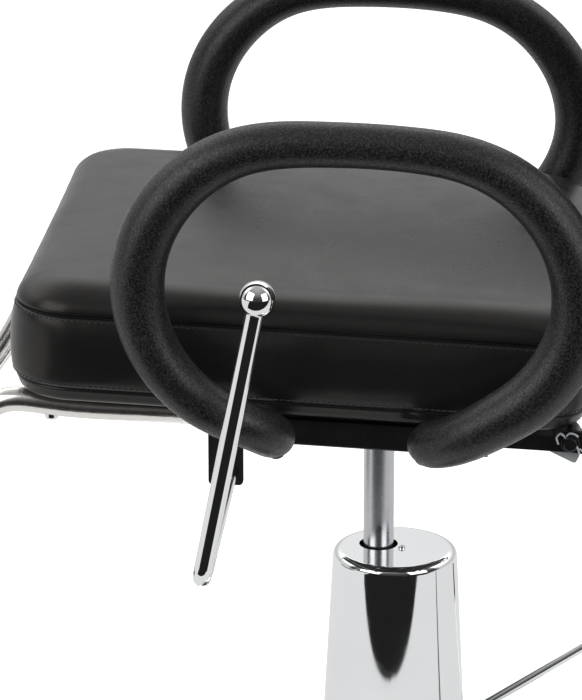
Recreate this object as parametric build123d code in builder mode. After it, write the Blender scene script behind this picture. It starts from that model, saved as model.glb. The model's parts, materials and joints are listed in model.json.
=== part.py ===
from build123d import *
import os
from math import sin, cos, tan, radians

os.makedirs("parts", exist_ok=True)

# Reclining styling chair on a round pump base.  Millimetres, +Z up.
# Origin: ram axis at floor level.  The chair faces -Y; +X is the
# occupant's left, the side that carries the recline lever.

# ------------------------------------------------------------------ shared sizes
base_x, base_y = 8.0, 16.0        # axis of dish, pump barrel and cover
ram_r = 14.25
run_gap = 0.05                    # radial clearance of every running fit

seat_tilt = radians(2.5)          # the seat falls towards the back
seat_z = 517.4                    # top of the side rails above the ram
rail_x0, rail_x1 = 199.0, 221.0   # inner and outer faces of the side rails
rail_w = rail_x1 - rail_x0
rail_mid = (rail_x0 + rail_x1) / 2
bar_w, bar_h = 25, 21.5           # cross bars

hinge_y, hinge_z = 176.0, 508.0   # back hinge
hinge_r = 9.5
shaft_r = 6.0                     # back hinge shaft
lever_y, lever_z = -121.0, 470.0  # axis of recline lever and release shaft
release_r = 6.0                   # release shaft

back_lean = radians(12.0)

# ------------------------------------------------------------------ planes and helpers
seat_plane = Plane(origin=(0, 0, seat_z), x_dir=(1, 0, 0),
                   z_dir=(0, sin(seat_tilt), cos(seat_tilt)))
# rear face of the back board: local y up the back, local z forward
back_normal = (0, -cos(back_lean), sin(back_lean))
back_foot_y, back_foot_z = 290, 575
back_plane = Plane(origin=(0, back_foot_y, back_foot_z), x_dir=(1, 0, 0), z_dir=back_normal)
back_axis = Axis((0, 0, 0), back_normal)
# vertical section through the base axis
base_section = Plane(origin=(base_x, base_y, 0), x_dir=(1, 0, 0), z_dir=(0, -1, 0))
base_axis = Axis((base_x, base_y, 0), (0, 0, 1))


def level(x, y, z):
    """Horizontal plane with its origin at a point."""
    return Plane(origin=(x, y, z))


def base_level(z):
    """Horizontal plane centred on the base axis."""
    return level(base_x, base_y, z)


def yz(x):
    """Vertical plane across x: local x is +Y, local y is +Z, normal +X."""
    return Plane(origin=(x, 0, 0), x_dir=(0, 1, 0), z_dir=(1, 0, 0))


def xz(y):
    """Vertical plane across y, with its normal towards -Y, the front."""
    return Plane.XZ.offset(-y)


def seat_h(y, h=0.0):
    """Height above the floor of a point h above the rail tops at depth y."""
    return seat_z - tan(seat_tilt) * y + h


def back_pt(y, z):
    """(Y, Z) of the point y up the back and z forward of the board's rear face."""
    return (back_foot_y + y * sin(back_lean) - z * cos(back_lean),
            back_foot_z + y * cos(back_lean) + z * sin(back_lean))


def save(name, builder):
    builder.part.label = name
    export_step(builder.part, "parts/" + name + ".step")


def save_pair(name, make):
    """Build and save the left (+X) and right (-X) piece; returns both."""
    pair = []
    for side, sign in (("left", 1), ("right", -1)):
        builder = make(sign)
        save(name + "_" + side, builder)
        pair.append(builder)
    return pair


# ------------------------------------------------------------------ base
dish_r = 303.0
dish_top = 52.0
dish_t = 3.0
dish_under = dish_top - dish_t
dish_flat_r = 95                  # flat middle of the dish
dish_bore_r = 30
rim_z = 5.5                       # lower edge of the dish
ring_r = 306.0
mount_t = 6
mount_z = dish_under - mount_t
bolt_circle_r, bolt_turn = 74, 20
bolt_hole_r = 5.3
nut_h = 6.5

with BuildPart() as base_plate:
    with BuildSketch(base_section):
        with BuildLine():
            Line((dish_bore_r, dish_top), (dish_flat_r, dish_top))
            Spline((dish_flat_r, dish_top), (135, 50), (200, 40.5), (255, 27.5), (290, 15.5),
                   (dish_r, rim_z), tangents=[(1, 0), (0.25, -1)])
            Line((dish_r, rim_z), (299.8, rim_z))
            Spline((299.8, rim_z), (287.5, 13.0), (254, 24.5), (199.3, 37.4), (134.6, 47.0),
                   (dish_flat_r, dish_under), tangents=[(-0.25, 1), (-1, 0)])
            Line((dish_flat_r, dish_under), (dish_bore_r, dish_under))
            Line((dish_bore_r, dish_under), (dish_bore_r, dish_top))
        make_face()
    revolve(axis=base_axis)
    with Locations(base_level(dish_top)):
        with PolarLocations(bolt_circle_r, 4, start_angle=bolt_turn):
            Hole(bolt_hole_r, depth=4)
save("base_plate", base_plate)

with BuildPart() as base_ring:
    with BuildSketch(base_section):
        with BuildLine():
            Polyline((294, 0), (304.8, 0), (ring_r, 1.2), (ring_r, 8.2), (305.2, 9),
                     (303.2, 9), (303.2, rim_z), (294, rim_z), (294, 0))
        make_face()
    revolve(axis=base_axis)
save("base_ring", base_ring)

with BuildPart() as mounting_plate:
    with BuildSketch(base_level(mount_z)):
        Circle(91)
        Circle(dish_bore_r, mode=Mode.SUBTRACT)
        with PolarLocations(bolt_circle_r, 4, start_angle=bolt_turn):
            Circle(bolt_hole_r, mode=Mode.SUBTRACT)
    extrude(amount=mount_t)
save("mounting_plate", mounting_plate)

with BuildPart() as base_bolts:
    with BuildSketch(base_level(mount_z - nut_h)):
        with PolarLocations(bolt_circle_r, 4, start_angle=bolt_turn):
            RegularPolygon(8.5, 6)
    extrude(amount=nut_h)
    with BuildSketch(base_level(mount_z)):
        with PolarLocations(bolt_circle_r, 4, start_angle=bolt_turn):
            Circle(5)
    extrude(amount=19)
save("base_bolts", base_bolts)

# ------------------------------------------------------------------ pump
flange_r, flange_t = 90.0, 12
flange_top = dish_top + flange_t
barrel_r, barrel_top = 46.0, 300.0
piston_r = 17.0
gland_r, gland_z = 18.5, 285
gland_top = 304
cover_top, cover_r = 320.0, 58.0
cover_taper = radians(3.0)
cover_t = 1.5
cover_under = cover_top - cover_t
cover_bot_r = cover_r + (cover_top - flange_top) * tan(cover_taper)
cover_hole_r = 18.2               # opening for the ram
screw_x, screw_y = 10.6, 22.6     # cover screw
screw_r = 1.75

pedal_out = (-0.643, 0.766)       # direction of the pedal in plan
pedal_side = (pedal_out[1], -pedal_out[0])
pedal_pivot = (56.0, 117.3)       # (distance from base axis, height)
pin_r = 4
plunger_reach = 34                # plunger axis from the base axis
plunger_r = 5
# vertical section and plan, both with local x along the pedal
pedal_section = Plane(origin=(base_x, base_y, 0), x_dir=(*pedal_out, 0), z_dir=(*pedal_side, 0))
pedal_plan = Plane(origin=(base_x, base_y, 0), x_dir=(*pedal_out, 0), z_dir=(0, 0, 1))

with BuildPart() as pump_housing:
    with BuildSketch(base_level(dish_top)):
        Circle(flange_r)
        with PolarLocations(bolt_circle_r, 4, start_angle=bolt_turn):
            Circle(5.0, mode=Mode.SUBTRACT)
    extrude(amount=flange_t)
    fillet(pump_housing.edges().group_by(Axis.Z)[-1].sort_by(SortBy.RADIUS)[-1:], 3)
    with BuildSketch(base_level(flange_top)):
        Circle(barrel_r)
    extrude(amount=barrel_top - flange_top)
    # foot-lever lugs
    with BuildSketch(pedal_section):
        with Locations(pedal_pivot):
            Circle(8.5)
        with Locations((47, pedal_pivot[1])):
            Rectangle(18, 17)
    extrude(amount=16, both=True)
    # boss that carries the cover screw
    with BuildSketch(level(screw_x, screw_y, barrel_top)):
        Circle(4.6)
    extrude(amount=cover_under - barrel_top)
    # ram cylinder and gland seat
    with BuildSketch(Plane.XY.offset(74)):
        Circle(piston_r)
    extrude(amount=215, mode=Mode.SUBTRACT)
    with BuildSketch(Plane.XY.offset(gland_z)):
        Circle(gland_r)
    extrude(amount=16, mode=Mode.SUBTRACT)
    # lever pocket
    with BuildSketch(pedal_plan.offset(94)):
        with Locations((44, 0)):
            Rectangle(44, 20)
    extrude(amount=46, mode=Mode.SUBTRACT)
    # spring chamber, then the plunger bore above it
    with BuildSketch(pedal_plan.offset(138)):
        with Locations((plunger_reach, 0)):
            Circle(9.5)
    extrude(amount=24, mode=Mode.SUBTRACT)
    with BuildSketch(pedal_plan.offset(160)):
        with Locations((plunger_reach, 0)):
            Circle(plunger_r + run_gap)
    extrude(amount=36, mode=Mode.SUBTRACT)
    # lever pin and cover screw holes
    with BuildSketch(pedal_section):
        with Locations(pedal_pivot):
            Circle(pin_r)
    extrude(amount=20, both=True, mode=Mode.SUBTRACT)
    with BuildSketch(level(screw_x, screw_y, 304)):
        Circle(screw_r)
    extrude(amount=20, mode=Mode.SUBTRACT)
save("pump_housing", pump_housing)

with BuildPart() as gland_bush:
    with BuildSketch(Plane.XY.offset(gland_z)):
        Circle(gland_r)
        Circle(ram_r + run_gap, mode=Mode.SUBTRACT)
    extrude(amount=gland_top - gland_z)
    # collar resting on the barrel
    with BuildSketch(Plane.XY.offset(barrel_top)):
        Circle(19.6)
        Circle(ram_r + run_gap, mode=Mode.SUBTRACT)
    extrude(amount=gland_top - barrel_top)
save("gland_bush", gland_bush)

with BuildPart() as wiper_seal:
    seal_bore = ram_r + run_gap
    with BuildSketch(Plane.XZ):
        with BuildLine():
            Polyline((seal_bore, gland_top), (18.2, gland_top), (18.2, 308), (15.6, 311),
                     (seal_bore, 311), (seal_bore, gland_top))
        make_face()
    revolve(axis=Axis.Z)
save("wiper_seal", wiper_seal)

with BuildPart() as pump_cover:
    with BuildSketch(base_section):
        with BuildLine():
            Polyline((0, cover_top), (cover_r, cover_top), (cover_bot_r, flange_top),
                     (cover_bot_r - cover_t, flange_top),
                     (cover_r - cover_t - 0.05, cover_under), (0, cover_under), (0, cover_top))
        make_face()
    revolve(axis=base_axis)
    rims = pump_cover.edges().filter_by(GeomType.CIRCLE)
    fillet(rims.group_by(Axis.Z)[-1].sort_by(SortBy.RADIUS)[-1:], 7.5)
    inner_rim = [edge for edge in pump_cover.edges().filter_by(GeomType.CIRCLE)
                 if abs(edge.center().Z - cover_under) < 0.1 and edge.radius > 50]
    fillet(inner_rim, 6)
    with BuildSketch(Plane.XY.offset(cover_top - 6)):
        Circle(cover_hole_r)
    extrude(amount=10, mode=Mode.SUBTRACT)
    # hole for the fixing screw
    with BuildSketch(level(screw_x, screw_y, cover_top - 6)):
        Circle(1.9)
    extrude(amount=10, mode=Mode.SUBTRACT)
    # notch for the foot lever, open at the bottom edge
    with BuildSketch(pedal_section.offset(-10.5)):
        with Locations((70, 90)):
            Rectangle(40, 88)
    extrude(amount=21, mode=Mode.SUBTRACT)
save("pump_cover", pump_cover)

with BuildPart() as cover_screw:
    with BuildSketch(level(screw_x, screw_y, cover_top - 15)):
        Circle(screw_r)
    extrude(amount=15)
    with BuildSketch(level(screw_x, screw_y, cover_top)):
        Circle(3.6)
    extrude(amount=2.2)
    fillet(cover_screw.edges().group_by(Axis.Z)[-1], 1.2)
    # cross slot
    with BuildSketch(level(screw_x, screw_y, cover_top + 1.3)):
        Rectangle(0.9, 4.6)
        Rectangle(4.6, 0.9)
    extrude(amount=2, mode=Mode.SUBTRACT)
save("cover_screw", cover_screw)

with BuildPart() as lever_pin:
    with BuildSketch(pedal_section):
        with Locations(pedal_pivot):
            Circle(pin_r)
    extrude(amount=16.5, both=True)
save("lever_pin", lever_pin)

# ------------------------------------------------------------------ pump plunger
plunger_x = base_x + plunger_reach * pedal_out[0]
plunger_y = base_y + plunger_reach * pedal_out[1]
plunger_z = 118.0

with BuildPart() as pump_plunger:
    with BuildSketch(level(plunger_x, plunger_y, plunger_z)):
        Circle(plunger_r)
    extrude(amount=58)
    with BuildSketch(level(plunger_x, plunger_y, plunger_z)):
        Circle(8.6)
    extrude(amount=4)
    fillet(pump_plunger.edges().group_by(Axis.Z)[0], 1)
save("pump_plunger", pump_plunger)

with BuildPart() as plunger_spring:
    with BuildLine() as coil:
        Helix(pitch=8.6, height=34, radius=7.3, center=(plunger_x, plunger_y, 123.6))
    with BuildSketch(Plane(origin=coil.line @ 0, z_dir=coil.line % 0)):
        Circle(1.0)
    sweep(is_frenet=True)
save("plunger_spring", plunger_spring)

# ------------------------------------------------------------------ pedal
pedal_slope = radians(13.4)
pedal_rod_r = 5.0
rod_start, rod_end = 16, 316      # along the rod from the pivot
pad_start = 262
# square to the rod at the pivot; the normal runs out along the rod
rod_plane = Plane(
    origin=(base_x + pedal_pivot[0] * pedal_out[0], base_y + pedal_pivot[0] * pedal_out[1],
            pedal_pivot[1]),
    x_dir=(*pedal_side, 0),
    z_dir=(pedal_out[0] * cos(pedal_slope), pedal_out[1] * cos(pedal_slope), sin(pedal_slope)))

with BuildPart() as lever_yoke:
    with BuildSketch(pedal_section):
        with Locations(pedal_pivot):
            Circle(8)
    extrude(amount=9.6, both=True)
    # finger that reaches under the plunger
    with BuildSketch(pedal_section):
        with BuildLine():
            Polyline((56, 125), (49, 123), (45, 117.4), (33, 117.4), (29.5, 115.5),
                     (29, 111.5), (31.5, 108.2), (56, 109.6), (56, 125))
        make_face()
    extrude(amount=6, both=True)
    # socket for the pedal rod
    with BuildSketch(rod_plane):
        Circle(8)
    extrude(amount=38)
    with BuildSketch(rod_plane.offset(rod_start)):
        Circle(pedal_rod_r)
    extrude(amount=30, mode=Mode.SUBTRACT)
    with BuildSketch(pedal_section):
        with Locations(pedal_pivot):
            Circle(pin_r + run_gap)
    extrude(amount=20, both=True, mode=Mode.SUBTRACT)
save("lever_yoke", lever_yoke)

with BuildPart() as pedal_rod:
    with BuildSketch(rod_plane.offset(rod_start)):
        Circle(pedal_rod_r)
    extrude(amount=rod_end - rod_start)
save("pedal_rod", pedal_rod)

with BuildPart() as pedal_pad:
    with BuildSketch(rod_plane.offset(pad_start)):
        RectangleRounded(24, 20, 8)
    extrude(amount=66)
    with BuildSketch(rod_plane.offset(pad_start)):
        Circle(pedal_rod_r)
    extrude(amount=rod_end - pad_start, mode=Mode.SUBTRACT)
    # grip grooves
    for k in range(6):
        with BuildSketch(rod_plane.offset(pad_start + 6 + 9.5 * k)):
            Rectangle(30, 30)
            RectangleRounded(22, 18, 7, mode=Mode.SUBTRACT)
        extrude(amount=3, mode=Mode.SUBTRACT)
save("pedal_pad", pedal_pad)

# ------------------------------------------------------------------ ram and piston
piston_z = 172
groove_z, groove_h, groove_r = 183, 5, 14.5
ram_z = 200
spigot_r = 8                      # thin lower end of the ram, inside the piston

with BuildPart() as ram_piston:
    with BuildSketch(Plane.XY.offset(piston_z)):
        Circle(piston_r - run_gap)
    extrude(amount=27.8)
    with BuildSketch(Plane.XY.offset(piston_z + 5)):
        Circle(spigot_r + run_gap)
    extrude(amount=30, mode=Mode.SUBTRACT)
    with BuildSketch(Plane.XY.offset(groove_z)):
        Circle(piston_r + 2)
        Circle(groove_r, mode=Mode.SUBTRACT)
    extrude(amount=groove_h, mode=Mode.SUBTRACT)
save("ram_piston", ram_piston)

with BuildPart() as piston_seal:
    with BuildSketch(Plane.XY.offset(groove_z)):
        Circle(piston_r - 0.03)
        Circle(groove_r, mode=Mode.SUBTRACT)
    extrude(amount=groove_h)
save("piston_seal", piston_seal)

with BuildPart() as ram:
    with BuildSketch(Plane.XY.offset(ram_z)):
        Circle(ram_r)
    extrude(amount=286)
    chamfer(ram.edges().group_by(Axis.Z)[-1], 1.5)
    with BuildSketch(Plane.XY.offset(ram_z - 22.5)):
        Circle(spigot_r)
    extrude(amount=22.5)
save("ram", ram)

# ------------------------------------------------------------------ ram socket and hub
# heights here are measured from the rail tops, square to the seat
hub_t = 6.5
hub_z = -(bar_h + hub_t)          # underside of the hub plate
socket_flange_t = 8
socket_flange_z = hub_z - socket_flange_t
socket_circle_r = 48
socket_hole_r = 4.2
socket_hex_r = 7.5

with BuildPart() as ram_socket:
    with BuildSketch(Plane.XY.offset(430)):
        Circle(27)
    extrude(amount=55.5)
    fillet(ram_socket.edges().group_by(Axis.Z)[0], 4)
    with BuildSketch(seat_plane.offset(socket_flange_z)):
        Circle(62)
    extrude(amount=socket_flange_t)
    with BuildSketch(Plane.XY.offset(420)):
        Circle(ram_r)
    extrude(amount=66.2, mode=Mode.SUBTRACT)
    with BuildSketch(seat_plane.offset(socket_flange_z - 4)):
        with PolarLocations(socket_circle_r, 4, start_angle=45):
            Circle(socket_hole_r)
    extrude(amount=14, mode=Mode.SUBTRACT)
save("ram_socket", ram_socket)

with BuildPart() as socket_bolts:
    with BuildSketch(seat_plane.offset(-43)):
        with PolarLocations(socket_circle_r, 4, start_angle=45):
            Circle(4)
    extrude(amount=21.5)
    # hexagons above the hub plate and below the flange: (underside, height)
    for hex_z, hex_h in ((-bar_h, 5.5), (socket_flange_z - 6.5, 6.5)):
        with BuildSketch(seat_plane.offset(hex_z)):
            with PolarLocations(socket_circle_r, 4, start_angle=45):
                RegularPolygon(socket_hex_r, 6)
        extrude(amount=hex_h)
save("socket_bolts", socket_bolts)

with BuildPart() as hub_plate:
    with BuildSketch(seat_plane.offset(hub_z)):
        RectangleRounded(236, 216, 10)
        with PolarLocations(socket_circle_r, 4, start_angle=45):
            Circle(socket_hole_r, mode=Mode.SUBTRACT)
    extrude(amount=hub_t)
save("hub_plate", hub_plate)

# ------------------------------------------------------------------ seat frame
rail_front, rail_step, rail_back = -138.0, 106.0, 190.0
rail_h = 24.0
rail_t = 2.5
ear_h = 14.0                      # shallow rear end that carries the hinge
bore_back = 98                    # rear end of the tube bore
bar_y = 100                       # cross bars at -bar_y and +bar_y
# arm fixing points on the rails, front and rear: (y, z)
arm_front_y, arm_back_y = -76.0, 51.5
arm_ends = [(arm_front_y, seat_h(arm_front_y, -10.75)), (arm_back_y, seat_h(arm_back_y, -8.0))]


def side_rail(sign):
    """Box tube rail with a solid ear for the back hinge."""
    with BuildPart() as rail:
        x_mid = sign * rail_mid
        with BuildSketch(seat_plane.offset(-rail_h)):
            with Locations((x_mid, (rail_front + rail_step) / 2)):
                Rectangle(rail_w, rail_step - rail_front)
        extrude(amount=rail_h)
        along = Axis(origin=(0, 0, 0), direction=(0, cos(seat_tilt), -sin(seat_tilt)))
        fillet(rail.edges().filter_by(along), 2)
        # ear, overlapping the tube by 4
        with BuildSketch(seat_plane.offset(-ear_h)):
            with Locations((x_mid, (rail_step - 4 + rail_back) / 2)):
                Rectangle(rail_w, rail_back - rail_step + 4)
        extrude(amount=ear_h)
        # hinge boss and the hump that blends it into the ear
        hump_front, hump_back = hinge_y - 22, hinge_y + 13
        with BuildSketch(yz(sign * rail_x0)):
            with Locations((hinge_y, hinge_z)):
                Circle(hinge_r)
            with BuildLine():
                Polyline((hump_front, seat_h(hump_front, -8)), (hump_front, seat_h(hump_front, -3)),
                         (hinge_y - 7, hinge_z + 5.5), (hinge_y + 7, hinge_z + 5.5),
                         (hump_back, seat_h(hump_back, -3)), (hump_back, seat_h(hump_back, -8)),
                         (hump_front, seat_h(hump_front, -8)))
            make_face()
        extrude(amount=sign * rail_w)
        # bore of the tube, open at the front
        with BuildSketch(seat_plane.offset(-rail_h + rail_t)):
            with Locations((x_mid, (rail_front + bore_back) / 2 - 5)):
                Rectangle(rail_w - 2 * rail_t, bore_back - rail_front + 10)
        extrude(amount=rail_h - 2 * rail_t, mode=Mode.SUBTRACT)
        # holes for the hinge shaft and the arm bolts
        with BuildSketch(yz(sign * 190)):
            with Locations((hinge_y, hinge_z)):
                Circle(shaft_r + run_gap)
            for end in arm_ends:
                with Locations(end):
                    Circle(4.2)
        extrude(amount=sign * 40, mode=Mode.SUBTRACT)
    return rail


save_pair("side_rail", side_rail)

with BuildPart() as front_cross_bar:
    with BuildSketch(seat_plane.offset(-bar_h)):
        with Locations((0, -bar_y)):
            Rectangle(2 * rail_x0, bar_w)
    extrude(amount=bar_h)
    # hanger that carries the release shaft
    with BuildSketch(yz(-73)):
        with Locations((lever_y, lever_z)):
            Circle(11)
        with BuildLine():
            Polyline((-131.5, lever_z), (-128, 516), (-112.5, 516), (-112.5, 492),
                     (-110.5, lever_z), (-131.5, lever_z))
        make_face()
    extrude(amount=6)
    with BuildSketch(yz(-80)):
        with Locations((lever_y, lever_z)):
            Circle(release_r + run_gap)
    extrude(amount=20, mode=Mode.SUBTRACT)
save("front_cross_bar", front_cross_bar)

with BuildPart() as rear_cross_bar:
    with BuildSketch(seat_plane.offset(-bar_h)):
        with Locations((0, bar_y)):
            Rectangle(2 * rail_x0, bar_w)
    extrude(amount=bar_h)
save("rear_cross_bar", rear_cross_bar)

# ------------------------------------------------------------------ seat
board_t = 8
board_screw_pitch = 180           # along each rail
cushion_w = 500.0
cushion_front, cushion_back = -316.0, 195.0
cushion_z0, cushion_z1 = 8.5, 116.0
foot_x = 187.0                    # footrest tubes at -foot_x and +foot_x
foot_holes = [(foot_x, -280), (-foot_x, -280)]
foot_hole_r = 3.2

with BuildPart() as seat_board:
    with BuildSketch(seat_plane):
        with Locations((0, -72)):
            RectangleRounded(430, 440, 48)
        with GridLocations(2 * rail_mid, board_screw_pitch, 2, 2):
            Circle(3.2, mode=Mode.SUBTRACT)
        with Locations(*foot_holes):
            Circle(foot_hole_r, mode=Mode.SUBTRACT)
    extrude(amount=board_t)
save("seat_board", seat_board)

with BuildPart() as board_screws:
    with BuildSketch(seat_plane):
        with GridLocations(2 * rail_mid, board_screw_pitch, 2, 2):
            Circle(3)
    extrude(amount=board_t - 1)
save("board_screws", board_screws)

with BuildPart() as seat_cushion:
    with BuildSketch(seat_plane.offset(cushion_z0)):
        with Locations((0, (cushion_front + cushion_back) / 2)):
            RectangleRounded(cushion_w, cushion_back - cushion_front, 55)
    extrude(amount=cushion_z1 - cushion_z0)
    fillet(seat_cushion.faces().sort_by(Axis.Z)[-1].edges(), 22)
    fillet(seat_cushion.faces().sort_by(Axis.Z)[0].edges(), 12)
save("seat_cushion", seat_cushion)

# ------------------------------------------------------------------ loop arms
insert_r = 9
arm_bolt_r = 4
# (x, y, z, radius) stations of the padded left arm, front end to rear end
arm_rows = [
    (254.0, -76.0, 513.3, 12.4), (257.5, -76.3, 515.8, 16.8), (267.0, -78.8, 520.8, 19.2),
    (282.0, -87.4, 530.2, 19.7), (291.5, -103.0, 540.4, 19.9), (295.0, -137.6, 559.5, 20.8),
    (295.0, -165.8, 587.2, 21.7), (295.0, -183.7, 621.0, 22.6), (295.0, -190.4, 657.7, 23.1),
    (295.0, -185.7, 694.6, 23.1), (295.0, -169.5, 729.1, 22.8), (295.0, -143.1, 758.1, 22.0),
    (295.0, -110.1, 777.5, 20.9), (295.0, -74.0, 785.8, 19.9), (295.0, -36.2, 787.4, 19.2),
    (295.0, 3.5, 786.7, 18.9), (295.0, 43.8, 783.8, 19.1), (295.0, 82.7, 776.9, 19.8),
    (295.0, 117.9, 761.6, 20.8), (295.0, 147.3, 736.8, 21.9), (295.0, 168.7, 705.0, 23.0),
    (295.0, 179.8, 669.5, 23.9), (295.0, 178.7, 633.3, 24.4), (295.0, 165.3, 599.0, 24.5),
    (295.0, 141.7, 569.0, 24.2), (291.5, 111.0, 546.3, 22.9), (284.5, 86.0, 530.4, 21.9),
    (272.0, 66.0, 519.6, 21.2), (262.0, 55.2, 514.6, 19.8), (257.5, 52.2, 512.4, 17.0),
    (254.0, 51.5, 510.4, 12.6)]


def arm(sign):
    """Padded loop arm lofted through round sections."""
    centres = [Vector(sign * x, y, z) for x, y, z, _ in arm_rows]
    # the ends leave and meet the rail squarely
    inner = [(after - before).normalized() for before, after in zip(centres, centres[2:])]
    tangents = [Vector(sign, 0, 0)] + inner + [Vector(-sign, 0, 0)]
    x_dir = Vector(0, 0, 1)
    with BuildPart() as body:
        for centre, tangent, row in zip(centres, tangents, arm_rows):
            # carry the section direction along the path without twist
            x_dir = (x_dir - tangent * x_dir.dot(tangent)).normalized()
            with BuildSketch(Plane(origin=centre, x_dir=x_dir, z_dir=tangent)):
                Circle(row[3])
        loft()
        # pockets for the inserts
        with BuildSketch(yz(sign * 240)):
            for end in arm_ends:
                with Locations(end):
                    Circle(insert_r)
        extrude(amount=sign * 32, mode=Mode.SUBTRACT)
    return body


save_pair("arm", arm)

with BuildPart() as arm_inserts:
    for sign in (1, -1):
        for end in arm_ends:
            # sleeve into the arm, then the collar against the rail
            for outer_r, length in ((insert_r, 50), (10.4, 4)):
                with BuildSketch(yz(sign * rail_x1)):
                    with Locations(end):
                        Circle(outer_r)
                        Circle(arm_bolt_r, mode=Mode.SUBTRACT)
                extrude(amount=sign * length)
save("arm_inserts", arm_inserts)

with BuildPart() as arm_bolts:
    for sign in (1, -1):
        for end in arm_ends:
            with BuildSketch(yz(sign * rail_x0)):
                with Locations(end):
                    Circle(arm_bolt_r)
            extrude(amount=sign * 64)
            with BuildSketch(yz(sign * rail_x0)):
                with Locations(end):
                    RegularPolygon(7.5, 6)
            extrude(amount=-sign * 6)
save("arm_bolts", arm_bolts)

# ------------------------------------------------------------------ recline lever
lever_r = 8.0
lever_x = 200                     # inner end of the lever rod
lever_bend_r = 14
ball_r = 15.5
lock_x, lock_z = -100.0, 460.0    # axis of the recline lock
release_z = 453.0                 # axis of the release pin
release_pin_r = 3
release_x0 = -110                 # right end of the release shaft

with BuildPart() as lever_bracket:
    with BuildSketch(yz(rail_x1)):
        with Locations((-123.2, 489)):
            RectangleRounded(30.6, 60, 4)
    extrude(amount=4)
    with BuildSketch(yz(rail_x0)):
        with Locations((lever_y, lever_z)):
            Circle(10.5)
    extrude(amount=rail_w)
    with BuildSketch(yz(rail_x0 - 2)):
        with Locations((lever_y, lever_z)):
            Circle(lever_r + run_gap)
    extrude(amount=40, mode=Mode.SUBTRACT)
save("lever_bracket", lever_bracket)


def bent(points, radius):
    """Edges of a bent rod: straight runs joined by tangent arcs."""
    corners = [Vector(*point) for point in points]
    start = corners[0]
    for before, corner, after in zip(corners, corners[1:], corners[2:]):
        back = (before - corner).normalized()
        ahead = (after - corner).normalized()
        half = radians(back.get_angle(ahead) / 2)
        setback = radius / tan(half)
        arc_start = corner + back * setback
        arc_end = corner + ahead * setback
        arc_mid = corner + (back + ahead).normalized() * (radius / sin(half) - radius)
        Line(start, arc_start)
        ThreePointArc(arc_start, arc_mid, arc_end)
        start = arc_end
    Line(start, corners[-1])


# inner end, bend outside the rail, bend at the bottom, top end
lever_pts = [(lever_x, lever_y, lever_z), (243, lever_y, lever_z),
             (338, -137.6, 398), (338, -87.6, 655)]
with BuildPart() as recline_lever_rod:
    with BuildLine() as lever_path:
        bent(lever_pts, lever_bend_r)
    with BuildSketch(Plane(origin=lever_pts[0], z_dir=(1, 0, 0))):
        Circle(lever_r)
    sweep(path=lever_path.wire())
save("recline_lever_rod", recline_lever_rod)

with BuildPart() as lever_ball:
    with Locations((338, -85.6, 666)):
        Sphere(ball_r)
    add(recline_lever_rod.part, mode=Mode.SUBTRACT)
save("lever_ball", lever_ball)

with BuildPart() as release_shaft:
    with BuildSketch(yz(release_x0)):
        with Locations((lever_y, lever_z)):
            Circle(release_r)
    extrude(amount=lever_x - release_x0)
    # drilled tab around the release pin
    with BuildSketch(xz(lever_y + 3)):
        with Locations((lock_x, release_z + 5.5)):
            RectangleRounded(18, 27, 4)
    extrude(amount=6)
    with BuildSketch(xz(lever_y + 10)):
        with Locations((lock_x, release_z)):
            Circle(5.2)
    extrude(amount=20, mode=Mode.SUBTRACT)
save("release_shaft", release_shaft)

with BuildPart() as release_pin:
    with BuildSketch(xz(lever_y - 11)):
        with Locations((lock_x, release_z)):
            Circle(release_pin_r)
    extrude(amount=-56)
    # head in front of the tab
    with BuildSketch(xz(lever_y - 6.2)):
        with Locations((lock_x, release_z)):
            Circle(6.5)
    extrude(amount=5)
save("release_pin", release_pin)

# ------------------------------------------------------------------ recline lock
cylinder_r = 14
cylinder_front, cylinder_back = -85, 60
lock_rod_r = 6
lock_rod_y = 42                   # front end of the rod, inside the cylinder
crank_r = 50.0
crank_start = radians(25.0)
crank_y = hinge_y + crank_r * sin(crank_start)
crank_z = hinge_z - crank_r * cos(crank_start)

with BuildPart() as lock_cylinder:
    with BuildSketch(xz(cylinder_front)):
        with Locations((lock_x, lock_z)):
            Circle(cylinder_r)
    extrude(amount=cylinder_front - cylinder_back)
    # rod bore from the back, release pin bore from the front
    with BuildSketch(xz(cylinder_back + 1)):
        with Locations((lock_x, lock_z)):
            Circle(lock_rod_r + run_gap)
    extrude(amount=85, mode=Mode.SUBTRACT)
    with BuildSketch(xz(cylinder_front - 1)):
        with Locations((lock_x, release_z)):
            Circle(release_pin_r + run_gap)
    extrude(amount=-24, mode=Mode.SUBTRACT)
save("lock_cylinder", lock_cylinder)

with BuildPart() as lock_clamps:
    with BuildSketch(seat_plane.offset(hub_z)):
        with Locations((lock_x, -50), (lock_x, 36)):
            Rectangle(36, 16)
    extrude(amount=-46)
    with BuildSketch(xz(-90)):
        with Locations((lock_x, lock_z)):
            Circle(cylinder_r)
    extrude(amount=-160, mode=Mode.SUBTRACT)
save("lock_clamps", lock_clamps)

with BuildPart() as lock_rod:
    with BuildSketch(xz(lock_rod_y)):
        with Locations((lock_x, lock_z)):
            Circle(lock_rod_r)
    extrude(amount=-(crank_y - 10 - lock_rod_y))
    # end plate with an upright slot for the crank pin
    with BuildSketch(yz(lock_x - 4)):
        with Locations((crank_y, lock_z)):
            RectangleRounded(26, 34, 8)
        with Locations((crank_y, lock_z + 0.4)):
            SlotCenterToCenter(6, 11.6, rotation=90, mode=Mode.SUBTRACT)
    extrude(amount=8)
save("lock_rod", lock_rod)

# ------------------------------------------------------------------ back hinge
shaft_end_x = 234
cap_t = 3
bracket_x, bracket_t = 222, 5     # inner face and thickness of the side plates
bracket_flange_x = 170            # inner edge of the flange behind the board
back_hole_x, back_hole_ys = 182, (50, 200)
back_holes = [(sign * back_hole_x, y) for sign in (1, -1) for y in back_hole_ys]

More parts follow.
